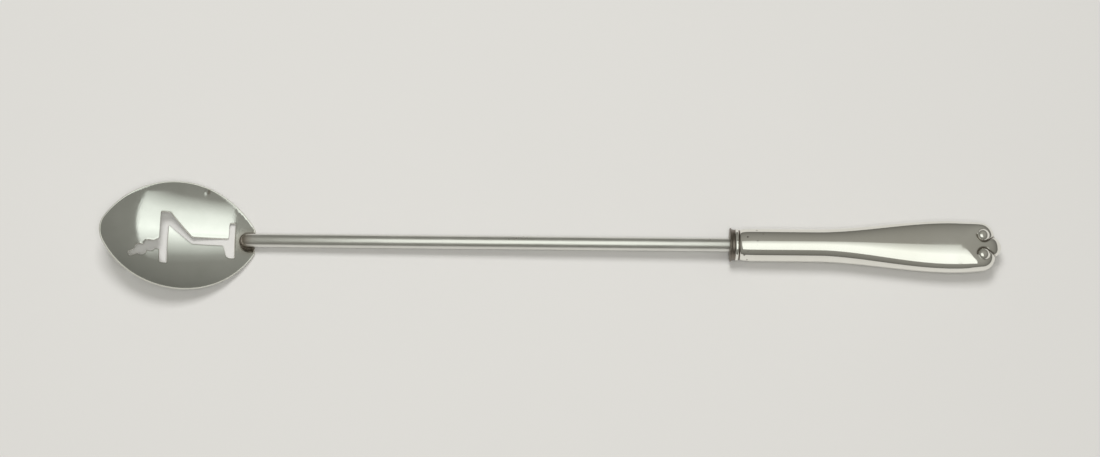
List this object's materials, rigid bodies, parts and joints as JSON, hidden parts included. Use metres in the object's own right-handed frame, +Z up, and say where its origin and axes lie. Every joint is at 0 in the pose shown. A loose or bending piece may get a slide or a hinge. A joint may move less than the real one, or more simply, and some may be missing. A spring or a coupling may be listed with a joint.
{
  "type": "martini spoon",
  "caption": "Long martini spoon: a dished leaf bowl pierced with a cocktail glass, on a straight round rod with a hollow grip ending in two scrolls, for stirring and lifting olives",
  "frame": {"origin": "on the surface the spoon lies on, under the middle of its bounding box", "axes": "+X from the bowl to the handle's tip, +Y to the side of the pierced glass's slanting slot, +Z up, out of the bowl"},
  "size_m": [0.3158, 0.0392, 0.0169],
  "materials": {
    "bowl_steel": "dished stainless sheet, soft polish with fine rubbing marks, bright cut edges",
    "rod_steel": "round stainless bar, satin, fine marks along it",
    "silver_braze": "silver braze fillet, dull",
    "tarnished_silver": "silver washer in the handle's mouth, dulled",
    "handle_silver": "polished sterling silver with light wear and dark tarnish in the grooves",
    "handle_cement": "handle cement, sealed inside"
  },
  "bodies": {
    "root": {"bowl": "bowl_steel", "rod": "rod_steel", "braze": "silver_braze", "end_cap": "tarnished_silver", "handle_front": "handle_silver", "handle_back": "handle_silver", "cement": "handle_cement"}
  },
  "joints": []
}
